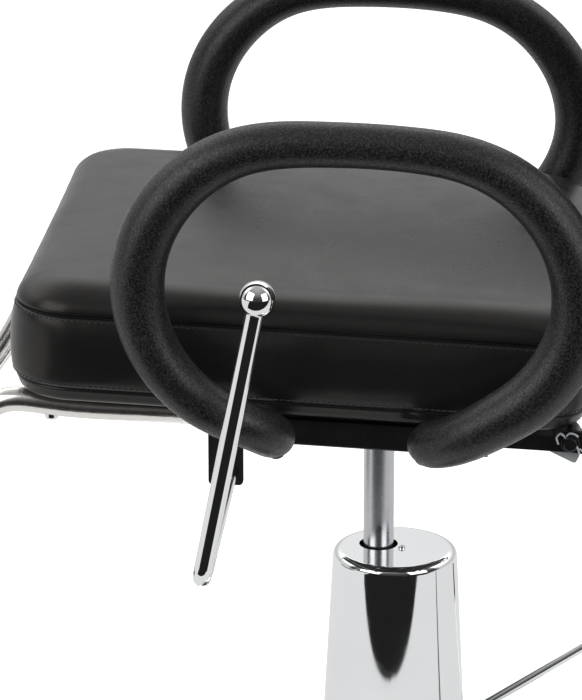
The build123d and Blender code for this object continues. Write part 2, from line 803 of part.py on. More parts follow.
with BuildPart() as back_shaft:
    with BuildSketch(yz(-shaft_end_x)):
        with Locations((hinge_y, hinge_z)):
            Circle(shaft_r)
    extrude(amount=2 * shaft_end_x)
save("back_shaft", back_shaft)

with BuildPart() as lock_crank:
    with BuildSketch(yz(-94)):
        with Locations((hinge_y, hinge_z)):
            Circle(hinge_r)
        with Locations((crank_y, crank_z)):
            Circle(9)
        with BuildLine():
            Polyline((hinge_y - 9.1, hinge_z - 2), (crank_y - 8.6, crank_z - 2),
                     (crank_y + 8.6, crank_z + 2), (hinge_y + 9.1, hinge_z + 2),
                     (hinge_y - 9.1, hinge_z - 2))
        make_face()
        with Locations((hinge_y, hinge_z)):
            Circle(shaft_r, mode=Mode.SUBTRACT)
    extrude(amount=6)
    # crank pin
    with BuildSketch(yz(-112)):
        with Locations((crank_y, crank_z)):
            Circle(5)
    extrude(amount=20)
save("lock_crank", lock_crank)


def back_bracket(sign):
    """Flat side plate with a flange turned in behind the back board."""
    with BuildPart() as bracket:
        with BuildSketch(yz(sign * bracket_x)) as profile:
            with BuildLine():
                Polyline((hinge_y, hinge_z + hinge_r), (205, 513), (256, 527), back_pt(-24, 0),
                         back_pt(230, 0), back_pt(230, -26), back_pt(-36, -30), (292, 509),
                         (210, 492), (hinge_y, hinge_z - hinge_r), (hinge_y, hinge_z + hinge_r))
            make_face()
            # round the top corners, then the bend between arm and upright
            fillet(profile.vertices().filter_by(lambda v: v.Y > 700), 8)
            fillet(profile.vertices().filter_by(lambda v: 250 < v.X < 360 and v.Y < 600), 12)
            with Locations((hinge_y, hinge_z)):
                Circle(hinge_r)
            with Locations((hinge_y, hinge_z)):
                Circle(shaft_r, mode=Mode.SUBTRACT)
        extrude(amount=sign * bracket_t)
        outer_x = bracket_x + bracket_t
        with BuildSketch(back_plane.offset(-bracket_t)):
            with Locations((sign * (bracket_flange_x + outer_x) / 2, 125)):
                RectangleRounded(outer_x - bracket_flange_x, 210, 2.2)
            with Locations(*[(sign * back_hole_x, y) for y in back_hole_ys]):
                Circle(3.4, mode=Mode.SUBTRACT)
        extrude(amount=bracket_t)
    return bracket


save_pair("back_bracket", back_bracket)

# caps on the ends of the hinge shaft
with BuildPart() as pivot_bolts:
    for sign in (1, -1):
        with BuildSketch(yz(sign * shaft_end_x)):
            with Locations((hinge_y, hinge_z)):
                Circle(shaft_r)
        extrude(amount=sign * cap_t)
    fillet([edge for edge in pivot_bolts.edges()
            if abs(abs(edge.center().X) - (shaft_end_x + cap_t)) < 0.01], 1.2)
save("pivot_bolts", pivot_bolts)

with BuildPart() as torsion_springs:
    for sign in (1, -1):
        with BuildLine() as hinge_coil:
            Helix(pitch=2.3, height=3.4, radius=7.3, center=(sign * 228.6, hinge_y, hinge_z),
                  direction=(sign, 0, 0))
        with BuildSketch(Plane(origin=hinge_coil.line @ 0, z_dir=hinge_coil.line % 0)):
            Circle(1.0)
        sweep(path=hinge_coil.wire(), is_frenet=True)
save("torsion_springs", torsion_springs)

# ------------------------------------------------------------------ back
back_w = 430.0
back_y0, back_y1 = -10.0, 470.0   # cushion ends, up the back

with BuildPart() as back_board:
    with BuildSketch(back_plane):
        with Locations((0, 225)):
            RectangleRounded(390, 450, 40)
        with Locations(*back_holes):
            Circle(3.2, mode=Mode.SUBTRACT)
    extrude(amount=12)
save("back_board", back_board)

with BuildPart() as back_cushion:
    with BuildSketch(back_plane.offset(12.5)):
        with Locations((0, (back_y0 + back_y1) / 2)):
            RectangleRounded(back_w, back_y1 - back_y0, 55)
    extrude(amount=73)
    fillet(back_cushion.faces().sort_by(back_axis)[-1].edges(), 22)
    fillet(back_cushion.faces().sort_by(back_axis)[0].edges(), 10)
save("back_cushion", back_cushion)

with BuildPart() as bracket_bolts:
    with BuildSketch(back_plane.offset(-bracket_t)):
        with Locations(*back_holes):
            Circle(3)
    extrude(amount=16)
    with BuildSketch(back_plane.offset(-bracket_t)):
        with Locations(*back_holes):
            Circle(6.5)
    extrude(amount=-3.5)
    # round the rear rims of the heads
    fillet([edge for edge in bracket_bolts.edges().filter_by(GeomType.CIRCLE)
            if edge.radius > 6 and back_plane.to_local_coords(edge.center()).Z < -8], 2.5)
save("bracket_bolts", bracket_bolts)

# ------------------------------------------------------------------ headrest
# y is measured up the back, z forward of the board's rear face
head_bar_w, head_bar_t = 25, 6
head_bar_z = -9
sleeve_y = 385                    # sleeve and its clamping knob
sleeve_z = -15
head_y = 560                      # tilt pivot and headrest centre
head_pin_r = 4


def head_pivot(x, x_dir=(0, 1, 0)):
    """Plane across the headrest tilt pivot, normal +X."""
    point = Vector(x, head_y, head_bar_z + head_bar_t / 2)
    return Plane(origin=back_plane.from_local_coords(point), x_dir=x_dir, z_dir=(1, 0, 0))


with BuildPart() as headrest_sleeve:
    with BuildSketch(back_plane.offset(sleeve_z)):
        with Locations((0, sleeve_y)):
            RectangleRounded(42, 110, 4)
    extrude(amount=-sleeve_z)
    with BuildSketch(back_plane.offset(head_bar_z - run_gap)):
        with Locations((0, sleeve_y)):
            Rectangle(head_bar_w + 2 * run_gap, 120)
    extrude(amount=head_bar_t + 2 * run_gap, mode=Mode.SUBTRACT)
    with BuildSketch(back_plane.offset(-20)):
        with Locations((0, sleeve_y)):
            Circle(4 + run_gap)
    extrude(amount=14, mode=Mode.SUBTRACT)
save("headrest_sleeve", headrest_sleeve)

with BuildPart() as headrest_bar:
    with BuildSketch(back_plane.offset(head_bar_z)):
        with Locations((0, 428)):
            Rectangle(head_bar_w, 256)
    extrude(amount=head_bar_t)
    with BuildSketch(head_pivot(-head_bar_w / 2)):
        Circle(8)
    extrude(amount=head_bar_w)
    with BuildSketch(head_pivot(-20)):
        Circle(head_pin_r + run_gap)
    extrude(amount=40, mode=Mode.SUBTRACT)
save("headrest_bar", headrest_bar)

with BuildPart() as headrest_knob:
    with BuildSketch(back_plane.offset(head_bar_z - 0.3)):
        with Locations((0, sleeve_y)):
            Circle(4)
    extrude(amount=-16)
    with BuildSketch(back_plane.offset(-19)):
        with Locations((0, sleeve_y)):
            Circle(16)
            with PolarLocations(17.5, 6):
                Circle(4, mode=Mode.SUBTRACT)
    extrude(amount=-15)
save("headrest_knob", headrest_knob)

with BuildPart() as headrest_plate:
    with BuildSketch(back_plane.offset(14)):
        with Locations((0, head_y)):
            RectangleRounded(220, 96, 25)
    extrude(amount=8)
    # ears on both sides of the bar, then the pin through them
    for x in (-18.5, 13.5):
        with BuildSketch(head_pivot(x, x_dir=back_normal)):
            Circle(9)
            with Locations((11, 0)):
                Rectangle(22, 18)
        extrude(amount=5)
    with BuildSketch(head_pivot(-20)):
        Circle(head_pin_r)
    extrude(amount=40)
save("headrest_plate", headrest_plate)

with BuildPart() as headrest_cushion:
    with BuildSketch(back_plane.offset(22.5)):
        with Locations((0, head_y)):
            RectangleRounded(260, 122, 45)
    extrude(amount=58)
    fillet(headrest_cushion.faces().sort_by(back_axis)[-1].edges(), 20)
    fillet(headrest_cushion.faces().sort_by(back_axis)[0].edges(), 8)
save("headrest_cushion", headrest_cushion)

# ------------------------------------------------------------------ footrest
foot_r = 11.0
foot_end_y, foot_end_z = -533.0, 215.0   # lower ends of the side tubes
cross_y, cross_z = foot_end_y + 6.1, foot_end_z + 9.15
cross_half = foot_x - foot_r
plate_tilt = radians(20)
plate_t = 3
tread_t = 4


def foot_tube(sign):
    """Side tube, modelled solid: under the board, then down in front of the seat."""
    x = sign * foot_x
    with BuildPart() as tube:
        with BuildLine() as path:
            Spline((x, -113, seat_h(-113, -12)), (x, -200, seat_h(-200, -12)),
                   (x, -275, seat_h(-275, -12)), (x, -300, 520.2), (x, -322, 519.3),
                   (x, -344, 505), (x, -360, 481), (x, -375, 453.5), (x, -391, 429.5),
                   (x, -460, 325.5), (x, foot_end_y, foot_end_z),
                   tangents=[(0, -cos(seat_tilt), sin(seat_tilt)), (0, -0.555, -0.832)])
        with BuildSketch(Plane(origin=path.line @ 0, x_dir=(1, 0, 0), z_dir=path.line % 0)):
            Circle(foot_r)
        sweep(path=path.wire())
        with BuildSketch(seat_plane.offset(-30)):
            with Locations((x, foot_holes[0][1])):
                Circle(foot_hole_r)
        extrude(amount=32, mode=Mode.SUBTRACT)
    return tube


foot_tubes = save_pair("footrest_tube", foot_tube)

with BuildPart() as footrest_bolts:
    with BuildSketch(seat_plane.offset(-22)):
        with Locations(*foot_holes):
            Circle(3)
    extrude(amount=28)
    # round heads below the tubes
    with BuildSketch(seat_plane.offset(-21)):
        with Locations(*foot_holes):
            Circle(6)
    extrude(amount=-5.4)
    fillet(footrest_bolts.edges().filter_by(GeomType.CIRCLE).filter_by(
        lambda e: e.radius > 5.9 and seat_plane.to_local_coords(e.center()).Z < -26), 2.6)
    # washers between tubes and board
    with BuildSketch(seat_plane.offset(-0.95)):
        with Locations(*foot_holes):
            Circle(6)
    extrude(amount=0.95)
    for foot_side in foot_tubes:
        add(foot_side.part, mode=Mode.SUBTRACT)
save("footrest_bolts", footrest_bolts)

with BuildPart() as footrest_cross_tube:
    with BuildSketch(Plane(origin=(-cross_half, cross_y, cross_z), x_dir=(0, 1, 0),
                           z_dir=(1, 0, 0))):
        Circle(foot_r)
        Circle(foot_r - 2, mode=Mode.SUBTRACT)
    extrude(amount=2 * cross_half)
save("footrest_cross_tube", footrest_cross_tube)

# tangent to the cross tube
plate_plane = Plane(
    origin=(0, cross_y + foot_r * sin(plate_tilt), cross_z + foot_r * cos(plate_tilt)),
    x_dir=(1, 0, 0), z_dir=(0, sin(plate_tilt), cos(plate_tilt)))
with BuildPart() as foot_plate:
    with BuildSketch(plate_plane):
        RectangleRounded(310, 92, 12)
    extrude(amount=plate_t)
save("foot_plate", foot_plate)

with BuildPart() as foot_tread:
    with BuildSketch(plate_plane.offset(plate_t)):
        RectangleRounded(302, 84, 10)
    extrude(amount=tread_t)
    # raised ribs
    for k in range(-3, 4):
        with BuildSketch(plate_plane.offset(plate_t + tread_t)):
            with Locations((0, 11 * k)):
                Rectangle(286, 4.5)
        extrude(amount=2)
save("foot_tread", foot_tread)
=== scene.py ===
"""Upholstered chair with seat, back and headrest on a pumped base.

The chair stands on z = 0 and faces -Y; +X is the sitter's left, and the camera looks from +X.
This script gives them materials, replaces the cushions and the plunger spring with detailed
meshes, and adds seams with painted shade lines, stitches, hinge wires with painted highlight,
floor and lights. Shapes are worked out in millimetres; the stage, lights and camera are in metres.
"""
import json
import math
import random
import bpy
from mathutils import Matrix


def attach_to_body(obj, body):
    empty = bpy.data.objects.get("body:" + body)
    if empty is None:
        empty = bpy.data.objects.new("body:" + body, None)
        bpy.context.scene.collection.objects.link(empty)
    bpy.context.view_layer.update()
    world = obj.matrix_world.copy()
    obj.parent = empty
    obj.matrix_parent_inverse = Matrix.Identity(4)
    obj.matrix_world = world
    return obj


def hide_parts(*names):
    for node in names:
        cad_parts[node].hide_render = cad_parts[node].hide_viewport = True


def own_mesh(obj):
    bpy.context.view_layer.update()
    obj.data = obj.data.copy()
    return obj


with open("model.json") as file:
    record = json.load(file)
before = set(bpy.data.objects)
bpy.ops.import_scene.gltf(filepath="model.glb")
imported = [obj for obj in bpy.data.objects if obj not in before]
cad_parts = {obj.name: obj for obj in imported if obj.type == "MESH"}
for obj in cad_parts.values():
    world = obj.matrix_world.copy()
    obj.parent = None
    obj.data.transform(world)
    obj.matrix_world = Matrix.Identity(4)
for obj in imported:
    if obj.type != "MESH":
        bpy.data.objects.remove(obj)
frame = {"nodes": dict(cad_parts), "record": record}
from types import SimpleNamespace
from typing import NamedTuple

import bmesh
import bpy
import numpy as np
from mathutils import Vector
from mathutils.bvhtree import BVHTree

MM = 0.001
random.seed(7)


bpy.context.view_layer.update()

# ---------------------------------------------------------------- shader graphs


class Graph:
    """A node tree whose methods add a node and return its output socket."""

    def __init__(self, tree):
        self.tree = tree

    def feed(self, socket, value):
        """Link a socket to an input, or set the input's own value."""
        if isinstance(value, bpy.types.NodeSocket):
            self.tree.links.new(value, socket)
        else:
            socket.default_value = value

    def add(self, kind, inputs=None, **settings):
        node = self.tree.nodes.new("ShaderNode" + kind)
        for key, value in settings.items():
            setattr(node, key, value)
        for key, value in (inputs or {}).items():
            self.feed(node.inputs[key], value)
        return node

    def set(self, name, value):
        """Set or link an input of the material's Principled shader."""
        self.feed(self.shader.inputs[name], value)

    def coords(self, scale=(1, 1, 1)):
        place = self.add("TexCoord").outputs["Object"]
        return self.add("Mapping", {"Scale": scale, "Vector": place}).outputs[0]

    def noise(self, place, scale, detail=3.0, rough=0.5):
        inputs = {"Scale": scale, "Detail": detail, "Roughness": rough, "Vector": place}
        return self.add("TexNoise", inputs).outputs["Fac"]

    def voronoi(self, place, scale, feature):
        inputs = {"Scale": scale, "Vector": place}
        return self.add("TexVoronoi", inputs, feature=feature).outputs["Distance"]

    def ramp(self, factor, *stops):
        """Colour ramp; each stop is (position, grey level or RGB colour)."""
        node = self.add("ValToRGB")
        elements = node.color_ramp.elements
        while len(elements) < len(stops):
            elements.new(0.5)
        for element, (position, colour) in zip(elements, stops):
            if isinstance(colour, (int, float)):
                colour = (colour, colour, colour)
            element.position = position
            element.color = (*colour, 1)
        self.feed(node.inputs[0], factor)
        return node.outputs[0]

    def shades(self, factor, colour, dark, light, end=0.7):
        """Ramp from colour * dark at 0.3 to colour * light at end."""
        return self.ramp(factor, (0.3, tuple(c * dark for c in colour)),
                         (end, tuple(c * light for c in colour)))

    def calc(self, operation, *values):
        return self.add("Math", dict(enumerate(values)), operation=operation).outputs[0]

    def weighted_sum(self, *terms):
        """Sum of (socket, weight) terms."""
        total = None
        for socket, weight in terms:
            part = self.calc("MULTIPLY", socket, weight)
            total = part if total is None else self.calc("ADD", total, part)
        return total

    def bump(self, height, strength, distance, normal=None):
        inputs = {"Strength": strength, "Distance": distance, "Height": height}
        if normal is not None:
            inputs["Normal"] = normal
        return self.add("Bump", inputs).outputs[0]

    def mix_colour(self, factor, first, second):
        # 0, 6 and 7 are the factor and colour inputs of an RGBA mix
        inputs = {0: factor, 6: first, 7: second}
        return self.add("Mix", inputs, data_type="RGBA").outputs[2]

    def mix_shader(self, factor, first, second):
        return self.add("MixShader", {0: factor, 1: first, 2: second}).outputs[0]


def new_material(name):
    material = bpy.data.materials.new(name)
    material.use_nodes = True
    graph = Graph(material.node_tree)
    graph.tree.nodes.clear()
    graph.output = graph.add("OutputMaterial")
    graph.shader = graph.add("BsdfPrincipled")
    graph.feed(graph.output.inputs[0], graph.shader.outputs[0])
    return material, graph


# ---------------------------------------------------------------- materials
# Texture scales are per metre, bump distances are in metres.


def vinyl():
    """Leather-grained vinyl: fine pebble, broad sheen patches, faint pores."""
    material, graph = new_material("vinyl_black")
    place = graph.coords()
    blotches = graph.noise(place, scale=9.0, detail=4.0, rough=0.55)
    graph.set("Base Color", graph.shades(blotches, (0.0175, 0.0166, 0.0162),
                                         dark=0.82, light=1.25, end=0.72))
    sheen = graph.noise(place, scale=26.0, detail=5.0, rough=0.6)
    graph.set("Roughness", graph.ramp(sheen, (0.3, 0.25), (0.7, 0.34)))
    pebbles = graph.voronoi(place, scale=900.0, feature="SMOOTH_F1")
    creases = graph.voronoi(place, scale=1500.0, feature="F1")
    pores = graph.noise(place, scale=2400.0, detail=2.0)
    grain = graph.weighted_sum((pebbles, 0.9), (creases, 0.35), (pores, 0.25))
    normal = graph.bump(grain, strength=0.28, distance=0.00022)
    waves = graph.noise(place, scale=55.0, detail=4.0, rough=0.55)
    normal = graph.bump(waves, strength=0.10, distance=0.0006, normal=normal)
    wrinkles = graph.noise(place, scale=190.0, detail=4.0, rough=0.6)
    normal = graph.bump(wrinkles, strength=0.16, distance=0.00035, normal=normal)
    graph.set("Normal", normal)
    graph.set("Specular IOR Level", 0.34)
    graph.set("Specular Tint", (1.0, 0.962, 0.925, 1.0))
    graph.set("Coat Weight", 0.03)
    graph.set("Coat Roughness", 0.25)
    return material


def arm_polyurethane():
    """Self-skinned polyurethane: black, satin, with a coarse pebble that glints, and light specks
    of painted glint in its colour.
    """
    material, graph = new_material("arm_polyurethane")
    place = graph.coords()
    # light specks in the base colour are painted glints of the pebble; the dark ground is the
    # plastic's own black
    painted_glints = graph.noise(place, scale=560.0, rough=0.8)
    graph.set("Base Color", graph.ramp(painted_glints, (0.42, (0.003, 0.003, 0.0032)),
                                       (0.5, (0.011, 0.0108, 0.0106)),
                                       (0.60, (0.046, 0.0445, 0.043))))
    sheen = graph.noise(place, scale=470.0, rough=0.7)
    graph.set("Roughness", graph.ramp(sheen, (0.42, 0.30), (0.58, 0.52)))
    pebbles = graph.voronoi(place, scale=480.0, feature="SMOOTH_F1")
    fine = graph.noise(place, scale=650.0, rough=0.65)
    grain = graph.weighted_sum((pebbles, 0.8), (fine, 0.9))
    normal = graph.bump(grain, strength=0.55, distance=0.00028)
    waves = graph.noise(place, scale=34.0)
    graph.set("Normal", graph.bump(waves, strength=0.12, distance=0.0012, normal=normal))
    graph.set("Specular IOR Level", 0.55)
    return material


def metal(name, colour, rough, vary=0.05, scale=60.0, grime=0.0, brush=None, dimple=None):
    """Metal of uneven roughness; brush stretches fine lines, dimple is a bump distance."""
    material, graph = new_material(name)
    graph.set("Metallic", 1.0)
    place = graph.coords()
    smears = graph.noise(place, scale=scale, detail=5.0, rough=0.6)
    graph.set("Roughness", graph.ramp(smears, (0.3, rough - vary), (0.75, rough + vary)))
    blotches = graph.noise(place, scale=7.0)
    graph.set("Base Color", graph.shades(blotches, colour, dark=0.93 - grime, light=1.0, end=0.65))
    if brush:
        lines = graph.noise(graph.coords(brush), scale=1.0, rough=0.7)
        graph.set("Normal", graph.bump(lines, strength=0.25, distance=0.00006))
    if dimple:
        dimples = graph.noise(place, scale=220.0, rough=0.6)
        graph.set("Normal", graph.bump(dimples, strength=0.4, distance=dimple))
    return material


def paint(name, colour, rough, wear=False, peel=0.00012):
    """Paint with orange peel; wear shows grey metal along sharp edges."""
    material, graph = new_material(name)
    place = graph.coords()
    blotches = graph.noise(place, scale=20.0, detail=4.0, rough=0.6)
    base = graph.shades(blotches, colour, dark=0.9, light=1.15)
    if wear:
        pointiness = graph.add("NewGeometry").outputs["Pointiness"]
        edges = graph.ramp(pointiness, (0.62, 0.0), (0.74, 1.0))
        chips = graph.noise(place, scale=160.0, detail=4.0, rough=0.7)
        mask = graph.calc("MULTIPLY", edges, graph.ramp(chips, (0.5, 0.0), (0.7, 0.6)))
        base = graph.mix_colour(mask, base, (0.12, 0.12, 0.125, 1))
    graph.set("Base Color", base)
    sheen = graph.noise(place, scale=90.0, detail=4.0, rough=0.6)
    graph.set("Roughness", graph.ramp(sheen, (0.3, rough - 0.03), (0.7, rough + 0.05)))
    skin = graph.noise(place, scale=700.0, rough=0.6)
    graph.set("Normal", graph.bump(skin, strength=0.45, distance=peel))
    return material


def rubber(name, colour, rough):
    material, graph = new_material(name)
    place = graph.coords()
    blotches = graph.noise(place, scale=30.0, detail=5.0, rough=0.6)
    graph.set("Base Color", graph.shades(blotches, colour, dark=0.75, light=1.5, end=0.75))
    sheen = graph.noise(place, scale=120.0, detail=4.0, rough=0.6)
    graph.set("Roughness", graph.ramp(sheen, (0.3, rough - 0.1), (0.7, rough + 0.12)))
    grain = graph.noise(place, scale=1300.0, rough=0.6)
    graph.set("Normal", graph.bump(grain, strength=0.5, distance=0.0002))
    return material


def plywood():
    """Black-stained wood, its grain running along X."""
    material, graph = new_material("plywood_black")
    grain = graph.noise(graph.coords((3.0, 60.0, 60.0)), scale=4.0, detail=6.0, rough=0.65)
    graph.set("Base Color", graph.ramp(grain, (0.3, (0.012, 0.011, 0.010)),
                                       (0.7, (0.035, 0.030, 0.026))))
    graph.set("Roughness", 0.7)
    graph.set("Normal", graph.bump(grain, strength=0.5, distance=0.0003))
    return material


def cast_iron():
    material, graph = new_material("cast_iron")
    place = graph.coords()
    blotches = graph.noise(place, scale=40.0, detail=5.0, rough=0.65)
    graph.set("Base Color", graph.shades(blotches, (0.022, 0.022, 0.024), dark=0.7, light=1.4))
    graph.set("Metallic", 0.35)
    graph.set("Roughness", 0.62)
    sand = graph.noise(place, scale=420.0, detail=5.0, rough=0.7)
    graph.set("Normal", graph.bump(sand, strength=0.7, distance=0.0005))
    return material


def thread(name, colour, rough):
    material, graph = new_material(name)
    place = graph.coords()
    blotches = graph.noise(place, scale=500.0, detail=2.0)
    graph.set("Base Color", graph.shades(blotches, colour, dark=0.7, light=1.2))
    graph.set("Roughness", rough)
    fibres = graph.noise(place, scale=3000.0, detail=2.0)
    graph.set("Normal", graph.bump(fibres, strength=0.4, distance=0.0001))
    return material


# Keyed by the material slot names of the CAD record
MATERIALS = {
    "chrome": metal("chrome", (0.93, 0.94, 0.95), rough=0.045, vary=0.022),
    "cast_iron": cast_iron(),
    "ram_steel": metal("ram_steel", (0.60, 0.61, 0.63), rough=0.27, vary=0.02, scale=30.0),
    "steel": metal("machined_steel", (0.52, 0.53, 0.55), rough=0.30, vary=0.08,
                   brush=(900, 60, 900)),
    "zinc": metal("zinc_plate", (0.74, 0.75, 0.76), rough=0.28, vary=0.09, scale=300.0,
                  grime=0.15, dimple=0.00004),
    "black_steel": paint("black_steel", (0.010, 0.010, 0.011), rough=0.36, wear=True),
    "bronze": metal("bronze", (0.55, 0.40, 0.22), rough=0.33, vary=0.08, brush=(60, 60, 3000)),
    "rubber": rubber("rubber_black", (0.016, 0.016, 0.017), rough=0.68),
    "plywood": plywood(),
    "vinyl": vinyl(),
    "arm_pu": arm_polyurethane(),
    "knob_plastic": rubber("knob_plastic", (0.014, 0.014, 0.015), rough=0.42),
}
SATIN_CHROME = metal("satin_chrome", (0.90, 0.875, 0.84), rough=0.22, vary=0.03)
THREAD_BLACK = thread("thread_black", (0.024, 0.0235, 0.023), rough=0.34)
OILED_STEEL = paint("oil_black_steel", (0.012, 0.0115, 0.011), rough=0.42)
# zinc plate drawn as near-white non-metal paint: its brightness is a painted highlight
ZINC_PAINTED_HIGHLIGHT = paint("zinc_painted_highlight", (0.80, 0.84, 0.87), rough=0.30, peel=0.00004)
# near-black painted shade laid in the seams
SEAM_SHADOW = thread("seam_shadow", (0.0015, 0.0015, 0.0016), rough=0.8)
THREAD_GREY = thread("thread_grey", (0.060, 0.058, 0.056), rough=0.4)


def dress_cad_pieces():
    for subpart in frame["record"]["subparts"]:
        node = subpart["node"]
        if node.startswith("footrest_tube"):
            material = SATIN_CHROME
        elif node == "torsion_springs":
            material = OILED_STEEL
        else:
            material = MATERIALS[subpart["material_slot"]]
        slots = frame["nodes"][node].data.materials
        if slots:
            for i in range(len(slots)):
                slots[i] = material
        else:
            slots.append(material)


dress_cad_pieces()

# ---------------------------------------------------------------- mesh helpers


class Panel:
    """A local frame in millimetres: x, y in the panel's plane, z along its thickness."""

    def __init__(self, origin, x, y, z):
        self.origin, self.x, self.y, self.z = (np.array(v, float) for v in (origin, x, y, z))

    def __call__(self, points):
        """World positions in metres of local points."""
        p = np.atleast_2d(points)
        return (self.origin + p[:, :1] * self.x + p[:, 1:2] * self.y + p[:, 2:3] * self.z) * MM


def make_object(name, verts, faces, material):
    """Smooth-shaded mesh object from vertices in metres."""
    mesh = bpy.data.meshes.new(name)
    mesh.from_pydata([tuple(map(float, v)) for v in verts], [], faces)
    mesh.validate()
    mesh.update()
    obj = bpy.data.objects.new(name, mesh)
    bpy.context.scene.collection.objects.link(obj)
    mesh.materials.append(material)
    for polygon in mesh.polygons:
        polygon.use_smooth = True
    return obj


def attach(obj, body):
    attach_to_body(obj, body)


def ring_quads(first, second, count, flip=False):
    """Quads joining two closed rings of vertices that start at first and second."""
    quads = []
    for i in range(count):
        j = (i + 1) % count
        if flip:
            quads.append((first + i, second + i, second + j, first + j))
        else:
            quads.append((first + i, first + j, second + j, second + i))
    return quads


def rounded_rect(half_x, half_y, radius, count, centre_y):
    """Evenly spaced points and outward normals, counter-clockwise from the middle of +x."""
    flat_x, flat_y = half_x - radius, half_y - radius
    perimeter = 4 * (flat_x + flat_y) + 2 * math.pi * radius
    turn = math.pi * radius / 2
    lengths = [flat_y, turn, 2 * flat_x, turn, 2 * flat_y, turn, 2 * flat_x, turn, flat_y]
    # piece: centre x, centre y, start angle
    corners = {1: (flat_x, flat_y, 0), 3: (-flat_x, flat_y, 90),
               5: (-flat_x, -flat_y, 180), 7: (flat_x, -flat_y, 270)}
    points, normals = [], []
    for i in range(count):
        s = perimeter * i / count
        piece = 0
        while piece < 8 and s > lengths[piece]:
            s -= lengths[piece]
            piece += 1
        if piece in corners:
            corner_x, corner_y, start = corners[piece]
            angle = math.radians(start) + s / radius
            normal = (math.cos(angle), math.sin(angle))
            point = (corner_x + radius * normal[0], corner_y + radius * normal[1])
        else:
            point, normal = {
                0: ((half_x, s), (1, 0)),
                2: ((flat_x - s, half_y), (0, 1)),
                4: ((-half_x, flat_y - s), (-1, 0)),
                6: ((-flat_x + s, -half_y), (0, -1)),
                8: ((half_x, -flat_y + s), (1, 0)),
            }[piece]
        points.append((point[0], point[1] + centre_y))
        normals.append(normal)
    return np.array(points), np.array(normals)


def catmull(points, steps):
    """Catmull-Rom curve through the points, with steps per span."""
    points = np.array(points, float)
    last = len(points) - 1
    curve = []
    for i in range(last):
        p0, p1, p2, p3 = points[max(i - 1, 0)], points[i], points[i + 1], points[min(i + 2, last)]
        for k in range(steps):
            t = k / steps
            curve.append(0.5 * ((2 * p1) + (-p0 + p2) * t + (2 * p0 - 5 * p1 + 4 * p2 - p3) * t * t
                                + (-p0 + 3 * p1 - 3 * p2 + p3) * t ** 3))
    curve.append(points[-1])
    return np.array(curve)


# ---------------------------------------------------------------- cushion covers
SEAT_TILT = math.radians(2.5)
BACK_LEAN = math.radians(12.0)
SEAT_PANEL = Panel((0, 0, 517.4), (1, 0, 0), (0, math.cos(SEAT_TILT), -math.sin(SEAT_TILT)),
                   (0, math.sin(SEAT_TILT), math.cos(SEAT_TILT)))
BACK_PANEL = Panel((0, 290, 575), (1, 0, 0), (0, math.sin(BACK_LEAN), math.cos(BACK_LEAN)),
                   (0, -math.cos(BACK_LEAN), math.sin(BACK_LEAN)))

BAND_STEPS = 15       # profile steps across the bulging side band
FACE_STEPS = 34       # rings from the shoulder to the middle of the face
HELD_ROWS = 7         # rows of the underside and strip held still by the cloth
SHOULDER_INSET = 33   # the face starts this far inside the seams
# Soft shoulder above the top seam: outward offset from the seam, part of the rise
SHOULDER_ROWS = ((0.6, 0.26), (-2.2, 0.44), (-7.0, 0.63), (-13.5, 0.80), (-22, 0.92))
# Creases round the seat's tuck: y and z of the direction from the tuck, length
TUCK_CREASES = ((9.0, -3.0, 11.0), (12.0, 1.0, 15.0), (-8.0, 5.0, 9.0), (6.0, 9.0, 10.0))

PRESSURE_FRAMES = 8
CLOTH = dict(quality=3, mass=0.35, tension_stiffness=22, compression_stiffness=22,
             shear_stiffness=8, bending_stiffness=1.2, use_pressure=True,
             uniform_pressure_force=6.0, vertex_group_mass="pin", pin_stiffness=1.0)


class Cushion(NamedTuple):
    """Sizes of a boxed cushion in its panel; heights are along the panel's z."""
    half_width: float
    y_min: float
    y_max: float
    corner: float       # radius of the plan's corners
    base: float         # height of the flat underside
    low_seam: float
    top_seam: float
    shoulder: float     # height of the face's edge
    crown: float        # height of the face's middle
    inset: float        # how far the seams lie inside the outline
    max_swell: float    # limit on the cloth's movement
    columns: int = 280  # vertices round the outline


def cushion_profile(size):
    """Rows of (outward offset, height) from underside to shoulder, and the two seam rows."""
    base, low, top = size.base, size.low_seam, size.top_seam
    seam = -size.inset
    rows = [(-60, base), (-34, base), (-19, base + 0.1), (-12.5, base + 1.0),
            (seam - 3.6, base + 3.6), (seam - 2.4, base + 7.5), (seam - 1.0, low - 3.5),
            (seam + 0.4, low - 1.3)]
    seam_rows = [len(rows)]
    rows += [(seam - 1.9, low), (seam + 1.6, low + 1.3)]
    for i in range(1, BAND_STEPS):
        t = i / BAND_STEPS
        bulge = math.sin(math.pi * t) ** 0.42
        rows.append((seam + 1.8 + (size.inset - 1.8) * bulge,
                     low + 1.8 + (top - low - 5.0) * t))
    rows += [(seam + 2.2, top - 2.6), (seam + 1.7, top - 1.0)]
    seam_rows.append(len(rows))
    rows += [(seam - 2.6, top - 0.1), (seam + 1.5, top + 1.1), (seam + 1.6, top + 2.8)]
    rise = size.shoulder - top
    rows += [(seam + outward, top + part * rise) for outward, part in SHOULDER_ROWS]
    rows.append((seam - SHOULDER_INSET, size.shoulder))
    return rows, seam_rows


def press_tuck(verts, size, tuck_y, tuck_z):
    """Press a dimple with creases into the cushion's +x side."""
    on_side = verts[:, 0] > 0.8 * size.half_width
    from_y = verts[:, 1] - tuck_y
    from_z = verts[:, 2] - tuck_z
    verts[:, 0] -= 3.6 * (np.exp(-(from_y / 3.2) ** 2) * np.exp(-(from_z / 5.0) ** 2) * on_side)
    for step_y, step_z, length in TUCK_CREASES:
        size_yz = np.hypot(step_y, step_z)
        unit_y, unit_z = step_y / size_yz, step_z / size_yz
        along = from_y * unit_y + from_z * unit_z
        across = -from_y * unit_z + from_z * unit_y
        verts[:, 0] -= (1.5 * np.exp(-(across / 1.7) ** 2) * np.clip(along / 3.0, 0, 1)
                        * np.clip((length - along) / 6.0, 0, 1) * on_side)


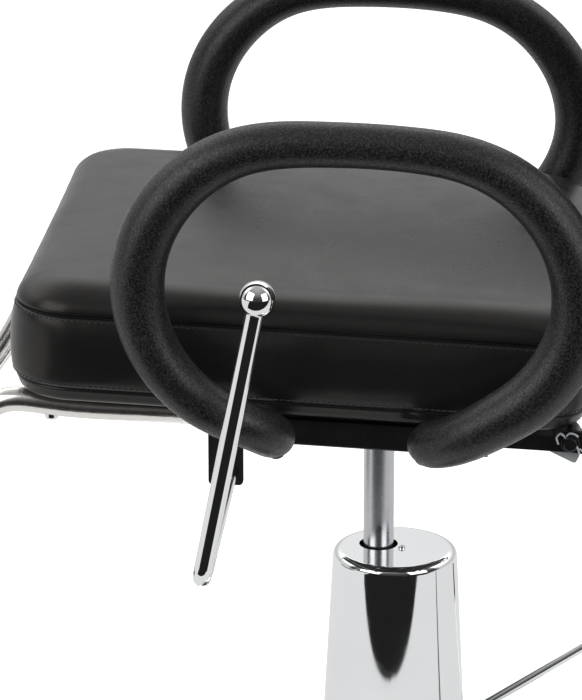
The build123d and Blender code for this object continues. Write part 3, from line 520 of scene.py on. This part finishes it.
def inflate(obj, pinned, size, rings, plan, face_ring):
    """Inflate the cover with cloth, held along its seams, and keep the smoothed result."""
    mesh = obj.data
    columns = size.columns
    before = np.empty(len(mesh.vertices) * 3)
    mesh.vertices.foreach_get("co", before)
    before = before.reshape(-1, 3)
    group = obj.vertex_groups.new(name="pin")
    group.add([int(i) for i in np.nonzero(pinned)[0]], 1.0, "REPLACE")
    cloth = obj.modifiers.new("cloth", "CLOTH")
    for key, value in CLOTH.items():
        setattr(cloth.settings, key, value)
    cloth.settings.effector_weights.gravity = 0
    cloth.collision_settings.use_collision = False
    cloth.collision_settings.use_self_collision = False
    cloth.point_cache.frame_start = 1
    cloth.point_cache.frame_end = PRESSURE_FRAMES
    scene = bpy.context.scene
    for number in range(1, PRESSURE_FRAMES + 1):
        scene.frame_set(number)
    result = obj.evaluated_get(bpy.context.evaluated_depsgraph_get())
    after = np.empty(len(result.data.vertices) * 3)
    result.data.vertices.foreach_get("co", after)
    after = after.reshape(-1, 3)
    obj.modifiers.remove(cloth)
    obj.vertex_groups.remove(group)
    scene.frame_set(1)

    move = after - before
    move[~np.isfinite(move)] = 0.0
    # even out the movement round and across the rings
    end = rings * columns
    free = (1.0 - np.asarray(pinned, float))[:end].reshape(rings, columns, 1)
    grid = move[:end].reshape(rings, columns, 3).copy()
    for _ in range(7):
        grid = 0.25 * np.roll(grid, 1, 1) + 0.5 * grid + 0.25 * np.roll(grid, -1, 1)
        blurred = grid.copy()
        blurred[1:-1] = 0.25 * grid[:-2] + 0.5 * grid[1:-1] + 0.25 * grid[2:]
        grid = blurred * free
    move[:end] = grid.reshape(-1, 3)
    move[end] = grid[-1].mean(0)
    move[end + 1:] = 0.0
    # across the face the foam evens the cover out: keep only a sixth-degree swell
    face = np.r_[np.arange(face_ring * columns, end), [end]]
    u, v = plan[face, 0], plan[face, 1]
    terms = np.stack([u ** i * v ** j for i in range(7) for j in range(7 - i)], 1)
    fit = terms @ np.linalg.lstsq(terms, move[face], rcond=None)[0]
    weight = np.clip((1.0 - np.maximum(np.abs(u), np.abs(v))) / 0.22, 0, 1)
    weight = (weight * weight * (3 - 2 * weight))[:, None]
    move[face] = move[face] * (1 - weight) + fit * weight
    length = np.linalg.norm(move, axis=1)
    cap = size.max_swell * MM
    keep = np.where(length > 1e-9, cap * np.tanh(length / cap) / np.maximum(length, 1e-9), 1.0)
    mesh.vertices.foreach_set("co", (before + move * keep[:, None]).ravel())
    mesh.update()


def skin_tree(obj):
    """Ray-cast tree of a finished cover, with its smoothing applied."""
    result = obj.evaluated_get(bpy.context.evaluated_depsgraph_get())
    mesh = result.to_mesh()
    tree = BVHTree.FromPolygons([v.co.copy() for v in mesh.vertices],
                                [tuple(p.vertices) for p in mesh.polygons])
    result.to_mesh_clear()
    return tree


def cushion(part, panel, size, tuck=None):
    """Boxed cushion: flat underside, lower strip, band between two seams, crowned face."""
    n = size.columns
    centre = np.array([0.0, (size.y_min + size.y_max) / 2])
    half_y = (size.y_max - size.y_min) / 2
    outline, normals = rounded_rect(size.half_width, half_y, size.corner, n, centre[1])
    rows, seam_rows = cushion_profile(size)
    rings = [np.c_[outline + normals * outward, np.full(n, z)] for outward, z in rows]

    # crowned face, ring by ring towards its middle
    face_offset = -size.inset - SHOULDER_INSET
    face_x, face_y = size.half_width + face_offset, half_y + face_offset
    edge = outline + normals * face_offset
    for i in range(1, FACE_STEPS):
        t = i / FACE_STEPS
        s = 1 - t
        ring = centre + (edge - centre) * s
        u = np.abs(ring[:, 0]) / face_x
        v = np.abs(ring[:, 1] - centre[1]) / face_y
        fade = min(1.0, (1 - s) / 0.15)
        dome = (1 - u ** 2.3) * (1 - v ** 2.3) * fade * fade * (3 - 2 * fade)
        rings.append(np.c_[ring, size.shoulder + (size.crown - size.shoulder) * dome])
    count = len(rings)
    verts = np.concatenate(rings)
    faces = []
    for r in range(count - 1):
        faces += ring_quads(r * n, (r + 1) * n, n)
    middle = len(verts)
    verts = np.vstack([verts, [centre[0], centre[1], size.crown]])
    last = (count - 1) * n
    faces += [(last + i, last + (i + 1) % n, middle) for i in range(n)]

    # underside, ring by ring towards its middle
    previous = 0
    for s in (0.75, 0.5, 0.25):
        start = len(verts)
        ring = centre + (rings[0][:, :2] - centre) * s
        verts = np.vstack([verts, np.c_[ring, np.full(n, size.base)]])
        faces += ring_quads(start, previous, n)
        previous = start
    middle = len(verts)
    verts = np.vstack([verts, [centre[0], centre[1], size.base]])
    faces += [(previous + (i + 1) % n, previous + i, middle) for i in range(n)]

    def per_vertex(values):
        """Repeat one value per column over all rings, with 0 at the two middles."""
        return np.r_[np.tile(values, count), [0], np.tile(values, 3), [0]]

    # uneven foam and gathered vinyl beside the seams
    arc = per_vertex(np.arange(n)) * (2 * math.pi / n)
    z = verts[:, 2]
    side = np.clip((z - size.low_seam) / 6, 0, 1) * np.clip((size.shoulder - z) / 8 + 1, 0, 1)
    waves = (0.55 * np.sin(arc * 23 + 1.3) + 0.35 * np.sin(arc * 41 + 0.4)
             + 0.4 * np.sin(arc * 9 + 2.0))
    near_seam = (np.exp(-((z - size.top_seam + 6) / 7.0) ** 2)
                 + 0.7 * np.exp(-((z - size.low_seam - 6) / 8.0) ** 2))
    gather = 0.55 * near_seam * side * waves
    verts[:, 0] += per_vertex(normals[:, 0]) * gather
    verts[:, 1] += per_vertex(normals[:, 1]) * gather
    top = z > size.shoulder - 3
    verts[top, 2] += (0.8 * np.sin(verts[top, 0] * 0.021 + 0.6)
                      * np.cos((verts[top, 1] - centre[1]) * 0.017 + 0.2))
    if tuck is not None:
        press_tuck(verts, size, *tuck)

    material = MATERIALS["vinyl"]
    obj = make_object(part + "_cover", panel(verts), faces, material)
    held = np.zeros(count, int)
    held[:HELD_ROWS] = 1
    held[seam_rows] = 1
    pinned = np.r_[np.repeat(held, n), [0], np.ones(3 * n, int), [1]]
    plan = np.c_[verts[:, 0] / face_x, (verts[:, 1] - centre[1]) / face_y]
    inflate(obj, pinned, size, count, plan, face_ring=len(rows) - 1)
    smoothing = obj.modifiers.new("smooth", "SUBSURF")
    smoothing.levels = 1
    smoothing.render_levels = 1
    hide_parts(part + "_cushion")
    attach(obj, part)
    return SimpleNamespace(part=part, panel=panel, outline=outline, normals=normals,
                           skin=skin_tree(obj))


# ---------------------------------------------------------------- seams, their painted shade lines and stitches
THREAD_SIDES = 6
STITCH_PITCH = 5.2
STITCH_LENGTH = 3.7
STITCH_SLANT = 0.10
# Along the half length, part of the radius, outward offset in radii
STITCH_RINGS = ((-1.0, 0.3, -0.9), (-0.82, 0.8, -0.3), (-0.35, 1.0, 0.0),
                (0.35, 1.0, 0.0), (0.82, 0.8, -0.3), (1.0, 0.3, -0.9))
SHADE_LINE_DROP = 0.1       # painted shade line below the seam's height
LIP_HEIGHTS = (2.2, -2.4)  # where the lips are felt above and below a painted shade line
SHADE_LINE_SINK = 0.25      # painted shade line below the lips


def skin_offset(cover, point, outward):
    """Millimetres from a local point out to the cover's skin, or None where there is none."""
    start = cover.panel(point + outward * 20)[0]
    ray = cover.panel(point - outward * 40)[0] - start
    length = np.linalg.norm(ray)
    hit = cover.skin.ray_cast(Vector(start), Vector(ray / length), length)[0]
    if hit is None:
        return None
    return 20 - (Vector(start) - hit).length * 1000


def stitches(cover, label, height, material, radius, lift):
    """A row of thread stitches laid round the cover."""
    outline = np.vstack([cover.outline, cover.outline[:1]])
    normals = np.vstack([cover.normals, cover.normals[:1]])
    travel = np.r_[0, np.cumsum(np.linalg.norm(np.diff(outline, axis=0), axis=1))]
    count = int(travel[-1] / STITCH_PITCH)
    up = np.array([0, 0, 1.0])
    verts, faces = [], []
    for k in range(count):
        s = (k + 0.5) * travel[-1] / count
        point = np.array([np.interp(s, travel, outline[:, 0]),
                          np.interp(s, travel, outline[:, 1]), height])
        normal = np.array([np.interp(s, travel, normals[:, i]) for i in (0, 1)])
        normal /= np.linalg.norm(normal)
        outward = np.array([normal[0], normal[1], 0.0])
        tangent = np.array([-normal[1], normal[0], 0.0])
        offset = skin_offset(cover, point, outward)
        if offset is None:
            continue
        middle = point + outward * (offset + lift)
        start = len(verts)
        for along, thickness, rise in STITCH_RINGS:
            ring_centre = (middle + tangent * (along * STITCH_LENGTH / 2)
                           + up * (along * STITCH_LENGTH / 2 * STITCH_SLANT)
                           + outward * (rise * radius))
            for i in range(THREAD_SIDES):
                angle = 2 * math.pi * i / THREAD_SIDES
                spoke = outward * math.cos(angle) + up * math.sin(angle)
                verts.append(ring_centre + spoke * radius * thickness)
        last = len(verts) - THREAD_SIDES
        for ring in range(start, last, THREAD_SIDES):
            faces += ring_quads(ring, ring + THREAD_SIDES, THREAD_SIDES, flip=True)
        faces.append(tuple(range(start, start + THREAD_SIDES)))
        faces.append(tuple(reversed(range(last, last + THREAD_SIDES))))
    name = f"{cover.part}_{label}"
    obj = make_object(name, cover.panel(np.array(verts)), faces, material)
    attach(obj, cover.part)


def seam_shade_line(cover, label, seam, radius):
    """Painted shade: a dark line lying in a seam, just under the lips of vinyl on each side of it.
    """
    z = seam - SHADE_LINE_DROP
    n = len(cover.outline)
    lips = np.zeros(n)
    for i, ((x, y), (normal_x, normal_y)) in enumerate(zip(cover.outline, cover.normals)):
        outward = np.array([normal_x, normal_y, 0.0])
        offsets = [skin_offset(cover, np.array([x, y, z + step]), outward)
                   for step in LIP_HEIGHTS]
        lips[i] = min((v for v in offsets if v is not None), default=-5.0)
    for _ in range(3):
        lips = 0.25 * np.roll(lips, 1) + 0.5 * lips + 0.25 * np.roll(lips, -1)
    verts, faces = [], []
    for lip, point, normal in zip(lips, cover.outline, cover.normals):
        for i in range(THREAD_SIDES):
            angle = 2 * math.pi * i / THREAD_SIDES
            offset = lip - SHADE_LINE_SINK - radius + radius * 1.6 * math.cos(angle)
            verts.append((*(point + normal * offset), z + radius * math.sin(angle)))
    for i in range(n):
        faces += ring_quads(i * THREAD_SIDES, (i + 1) % n * THREAD_SIDES, THREAD_SIDES, flip=True)
    name = f"{cover.part}_{label}"
    obj = make_object(name, cover.panel(np.array(verts)), faces, SEAM_SHADOW)
    attach(obj, cover.part)


SEAT = Cushion(half_width=250.5, y_min=-316.5, y_max=195, corner=58, base=8.5, low_seam=23.0,
               top_seam=88.0, shoulder=111.5, crown=121.5, inset=5.0, max_swell=3.0)
seat = cushion("seat", SEAT_PANEL, SEAT, tuck=(36.0, 20.0))
seam_shade_line(seat, "seam_top_shade", SEAT.top_seam, radius=0.85)
seam_shade_line(seat, "seam_low_shade", SEAT.low_seam, radius=0.65)
stitches(seat, "stitch_top", SEAT.top_seam - 2.7, THREAD_BLACK, radius=0.6, lift=0.35)
stitches(seat, "stitch_low", SEAT.low_seam + 3.4, THREAD_GREY, radius=0.55, lift=0.40)

BACK = Cushion(half_width=215.5, y_min=-10, y_max=470, corner=58, base=12.5, low_seam=24.0,
               top_seam=60.0, shoulder=77.0, crown=84.0, inset=4.5, max_swell=3.0)
back = cushion("back", BACK_PANEL, BACK)
seam_shade_line(back, "seam_top_shade", BACK.top_seam, radius=0.85)
stitches(back, "stitch_top", BACK.top_seam - 3.2, THREAD_BLACK, radius=0.5, lift=0.3)
stitches(back, "stitch_low", BACK.low_seam + 3.2, THREAD_GREY, radius=0.40, lift=0.22)

HEADREST_Y = 560
HEADREST_HALF = 61
HEADREST = Cushion(half_width=130.5, y_min=HEADREST_Y - HEADREST_HALF,
                   y_max=HEADREST_Y + HEADREST_HALF, corner=46, base=22.5, low_seam=32.0,
                   top_seam=60.0, shoulder=72.0, crown=79.0, inset=4.0, max_swell=2.5,
                   columns=200)
headrest = cushion("headrest", BACK_PANEL, HEADREST)
seam_shade_line(headrest, "seam_top_shade", HEADREST.top_seam, radius=0.75)
stitches(headrest, "stitch_top", HEADREST.top_seam - 3.0, THREAD_BLACK, radius=0.5, lift=0.3)

# ---------------------------------------------------------------- hinge springs and stops
WIRE_SIDES = 8
SPRING_X = 231.4
# Wires over the dark torsion springs, laid where their highlights lie and painted near-white as
# highlight; the arc stands for the coil's highlight.
# Wire radius, then (y, z) points
SPRING_WIRES = {
    "hook": (0.95, ((171.0, 512.4), (171.0, 513.6), (167.4, 516.3), (164.2, 513.3),
                    (164.4, 510.2), (165.8, 506.6))),
    "arc": (0.95, ((172.6, 514.2), (174.2, 516.2), (176.8, 516.8), (180.0, 515.8),
                   (182.6, 513.8))),
    "leg": (0.95, ((181.0, 505.8), (182.4, 503.2), (183.2, 501.2), (184.0, 497.6))),
    "tail": (0.85, ((183.0, 501.6), (184.6, 502.6), (187.0, 500.6))),
}
STOP_X = (212.6, 215.8)
# (y, z) corners
STOP_OUTLINE = ((154.0, 497.0), (158.6, 494.2), (178.8, 484.3), (181.4, 484.6),
                (184.2, 490.6), (185.0, 496.0))


def wire(name, points, radius, body, material, steps=6, up=(1.0, 0.0, 0.0)):
    """Round wire bent through points; up sets where its rings start."""
    curve = catmull(points, steps)
    tangents = np.gradient(curve, axis=0)
    tangents /= np.linalg.norm(tangents, axis=1)[:, None]
    up = np.array(up)
    verts, faces = [], []
    for point, tangent in zip(curve, tangents):
        across = up - tangent * up.dot(tangent)
        across /= np.linalg.norm(across)
        other = np.cross(tangent, across)
        for i in range(WIRE_SIDES):
            angle = 2 * math.pi * i / WIRE_SIDES
            spoke = across * math.cos(angle) + other * math.sin(angle)
            verts.append((point + spoke * radius) * MM)
    last = (len(curve) - 1) * WIRE_SIDES
    for ring in range(0, last, WIRE_SIDES):
        faces += ring_quads(ring, ring + WIRE_SIDES, WIRE_SIDES)
    faces.append(tuple(reversed(range(WIRE_SIDES))))
    faces.append(tuple(range(last, last + WIRE_SIDES)))
    obj = make_object(name, verts, faces, material)
    attach(obj, body)
    return obj


def stop_plate(name, sign):
    """Flat plate across X with slightly rounded edges, painted near-white as highlight."""
    n = len(STOP_OUTLINE)
    verts = [(sign * x * MM, y * MM, z * MM) for x in STOP_X for y, z in STOP_OUTLINE]
    faces = [tuple(range(n)), tuple(reversed(range(n, 2 * n)))]
    faces += [(i, i + n, (i + 1) % n + n, (i + 1) % n) for i in range(n)]
    obj = make_object(name, verts, faces, ZINC_PAINTED_HIGHLIGHT)
    mesh = bmesh.new()
    mesh.from_mesh(obj.data)
    bmesh.ops.recalc_face_normals(mesh, faces=mesh.faces)
    mesh.to_mesh(obj.data)
    mesh.free()
    for polygon in obj.data.polygons:
        polygon.use_smooth = False
    bevel = obj.modifiers.new("edge", "BEVEL")
    bevel.width = 0.0004
    bevel.segments = 2
    attach(obj, "seat")


for sign, side in ((1, "left"), (-1, "right")):
    for shape, (radius, path) in SPRING_WIRES.items():
        points = [(sign * SPRING_X, y, z) for y, z in path]
        wire(f"spring_{shape}_{side}", points, radius, "seat", ZINC_PAINTED_HIGHLIGHT)
    stop_plate("stop_plate_" + side, sign)

# ---------------------------------------------------------------- pump plunger's return spring
COIL_X, COIL_Y = -13.862, 42.044
COIL_RADIUS = 7.3
COIL_BASE = 123.6
COIL_HEIGHT = 34.0
COIL_TURNS = 3.95
COIL_STEPS = 28        # points per turn


def plunger_coil():
    points = []
    for k in range(int(COIL_TURNS * COIL_STEPS) + 1):
        angle = 2 * math.pi * k / COIL_STEPS
        points.append((COIL_X + COIL_RADIUS * math.cos(angle),
                       COIL_Y + COIL_RADIUS * math.sin(angle),
                       COIL_BASE + COIL_HEIGHT * k / (COIL_TURNS * COIL_STEPS)))
    coil = wire("plunger_coil", points, 1.0, "base", MATERIALS["zinc"], steps=1,
                up=(0.0, 0.0, 1.0))
    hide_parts("plunger_spring")
    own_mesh(coil)


plunger_coil()

# ---------------------------------------------------------------- stage
FLOOR_HALF = 14


def floor_material():
    """Pale floor to the camera; other rays see a glow that turns dark towards +X."""
    material, graph = new_material("floor_pale")
    calc, ramp = graph.calc, graph.ramp
    graph.set("Roughness", 0.85)
    mottle = graph.noise(graph.coords(), scale=3.0, detail=2.0)
    graph.set("Base Color", ramp(mottle, (0.0, 0.88), (1.0, 0.90)))
    graph.set("Emission Color", (1, 1, 1, 1))
    graph.set("Emission Strength", 0.62)
    x, y, _ = graph.add("SeparateXYZ", {0: graph.coords()}).outputs
    # edge of the glow: slanted in plan, and slanted more beyond y = -0.85
    edge = calc("SUBTRACT", x, calc("MULTIPLY", y, 0.12))
    away = calc("MAXIMUM", 0.0, calc("SUBTRACT", calc("MULTIPLY", y, -1.0), 0.85))
    edge = calc("SUBTRACT", edge, calc("MULTIPLY", away, 1.2))
    glow = ramp(edge, (0.732, 0.78), (0.752, 0.014))
    # thin dark line near x = 0.16 y, beyond y = 0.42
    line = calc("ABSOLUTE", calc("SUBTRACT", x, calc("MULTIPLY", y, 0.16)))
    line = calc("MULTIPLY", ramp(line, (0.010, 1.0), (0.018, 0.0)),
                ramp(y, (0.42, 0.0), (0.46, 1.0)))
    glow = calc("MULTIPLY", glow, calc("SUBTRACT", 1.0, calc("MULTIPLY", line, 0.93)))
    # diffuse rays receive only 0.55 of the glow
    rays = graph.add("LightPath").outputs
    dim = calc("SUBTRACT", 1.0, calc("MULTIPLY", rays["Is Diffuse Ray"], 0.45))
    glow = graph.add("Emission", {0: calc("MULTIPLY", glow, dim), 1: 1.0}).outputs[0]
    surface = graph.mix_shader(rays["Is Camera Ray"], glow, graph.shader.outputs[0])
    graph.feed(graph.output.inputs[0], surface)
    return material


def studio_world():
    """White to the camera; reflections see a dark +X side and a pale -X side."""
    world = bpy.data.worlds.new("studio")
    bpy.context.scene.world = world
    world.use_nodes = True
    graph = Graph(world.node_tree)
    calc = graph.calc
    white = graph.tree.nodes["Background"]
    white.inputs[0].default_value = (1, 1, 1, 1)
    surroundings = graph.add("Background")
    direction = graph.add("TexCoord").outputs["Generated"]
    x, y, z = graph.add("SeparateXYZ", {0: direction}).outputs
    level = calc("SQRT", calc("ADD", calc("MULTIPLY", x, x), calc("MULTIPLY", y, y)))
    side = calc("DIVIDE", x, calc("MAXIMUM", level, 0.0001))
    side = graph.ramp(calc("ADD", calc("MULTIPLY", side, 0.5), 0.5), (0.47, 0.0), (0.56, 1.0))
    # brightness by height, from the horizon to straight up
    dark = graph.ramp(z, (0.0, 0.035), (0.35, 0.06), (0.72, 0.24), (1.0, 0.42))
    pale = graph.ramp(z, (0.0, 0.58), (0.2, 0.58), (0.38, 0.86), (0.53, 1.5), (0.75, 1.6),
                      (0.9, 0.7), (1.0, 0.42))
    graph.feed(surroundings.inputs[0], graph.mix_colour(side, pale, dark))
    camera_ray = graph.add("LightPath").outputs["Is Camera Ray"]
    surface = graph.mix_shader(camera_ray, surroundings.outputs[0], white.outputs[0])
    graph.feed(graph.tree.nodes["World Output"].inputs[0], surface)


SOFTBOX_TARGET = (0.3, -0.08, 0.66)
SOFTBOX_RADIANCE = 2.0


def softbox(name, location, width, height):
    """Area light aimed at the chair, unseen by the camera."""
    light = bpy.data.lights.new(name, "AREA")
    light.shape = "RECTANGLE"
    light.size = width
    light.size_y = height
    light.energy = SOFTBOX_RADIANCE * math.pi * width * height
    obj = bpy.data.objects.new(name, light)
    bpy.context.scene.collection.objects.link(obj)
    obj.location = location
    aim = Vector(SOFTBOX_TARGET) - Vector(location)
    obj.rotation_euler = aim.to_track_quat("-Z", "Y").to_euler()
    obj.visible_camera = False


CAMERA_PLACE = (3.21297784, 0.15412565, 1.57900309)
CAMERA_AZIMUTH = math.radians(94.21522068)  # from -Y towards +X
CAMERA_RISE = math.radians(18.35938256)
CAMERA_LENS = 188.24463669


def add_camera():
    camera = bpy.data.cameras.new("camera")
    obj = bpy.data.objects.new("camera", camera)
    bpy.context.scene.collection.objects.link(obj)
    backward = Vector((math.sin(CAMERA_AZIMUTH) * math.cos(CAMERA_RISE),
                       -math.cos(CAMERA_AZIMUTH) * math.cos(CAMERA_RISE),
                       math.sin(CAMERA_RISE)))
    obj.location = CAMERA_PLACE
    obj.rotation_euler = backward.to_track_quat("Z", "Y").to_euler()
    camera.sensor_fit = "AUTO"
    camera.sensor_width = 36.0
    camera.lens = CAMERA_LENS
    camera.clip_end = 60
    bpy.context.scene.camera = obj


floor_corners = [(x * FLOOR_HALF, y * FLOOR_HALF, 0.0)
                 for x, y in ((-1, -1), (1, -1), (1, 1), (-1, 1))]
make_object("floor", floor_corners, [(0, 1, 2, 3)], floor_material())
studio_world()
# left and right as the camera sees them
softbox("softbox_left", (1.55, -1.45, 1.57), width=1.7, height=1.7)
softbox("softbox_right", (1.43, 1.47, 1.41), width=1.35, height=1.6)
add_camera()
bpy.context.scene.view_settings.view_transform = "Standard"
bpy.context.scene.view_settings.look = "None"
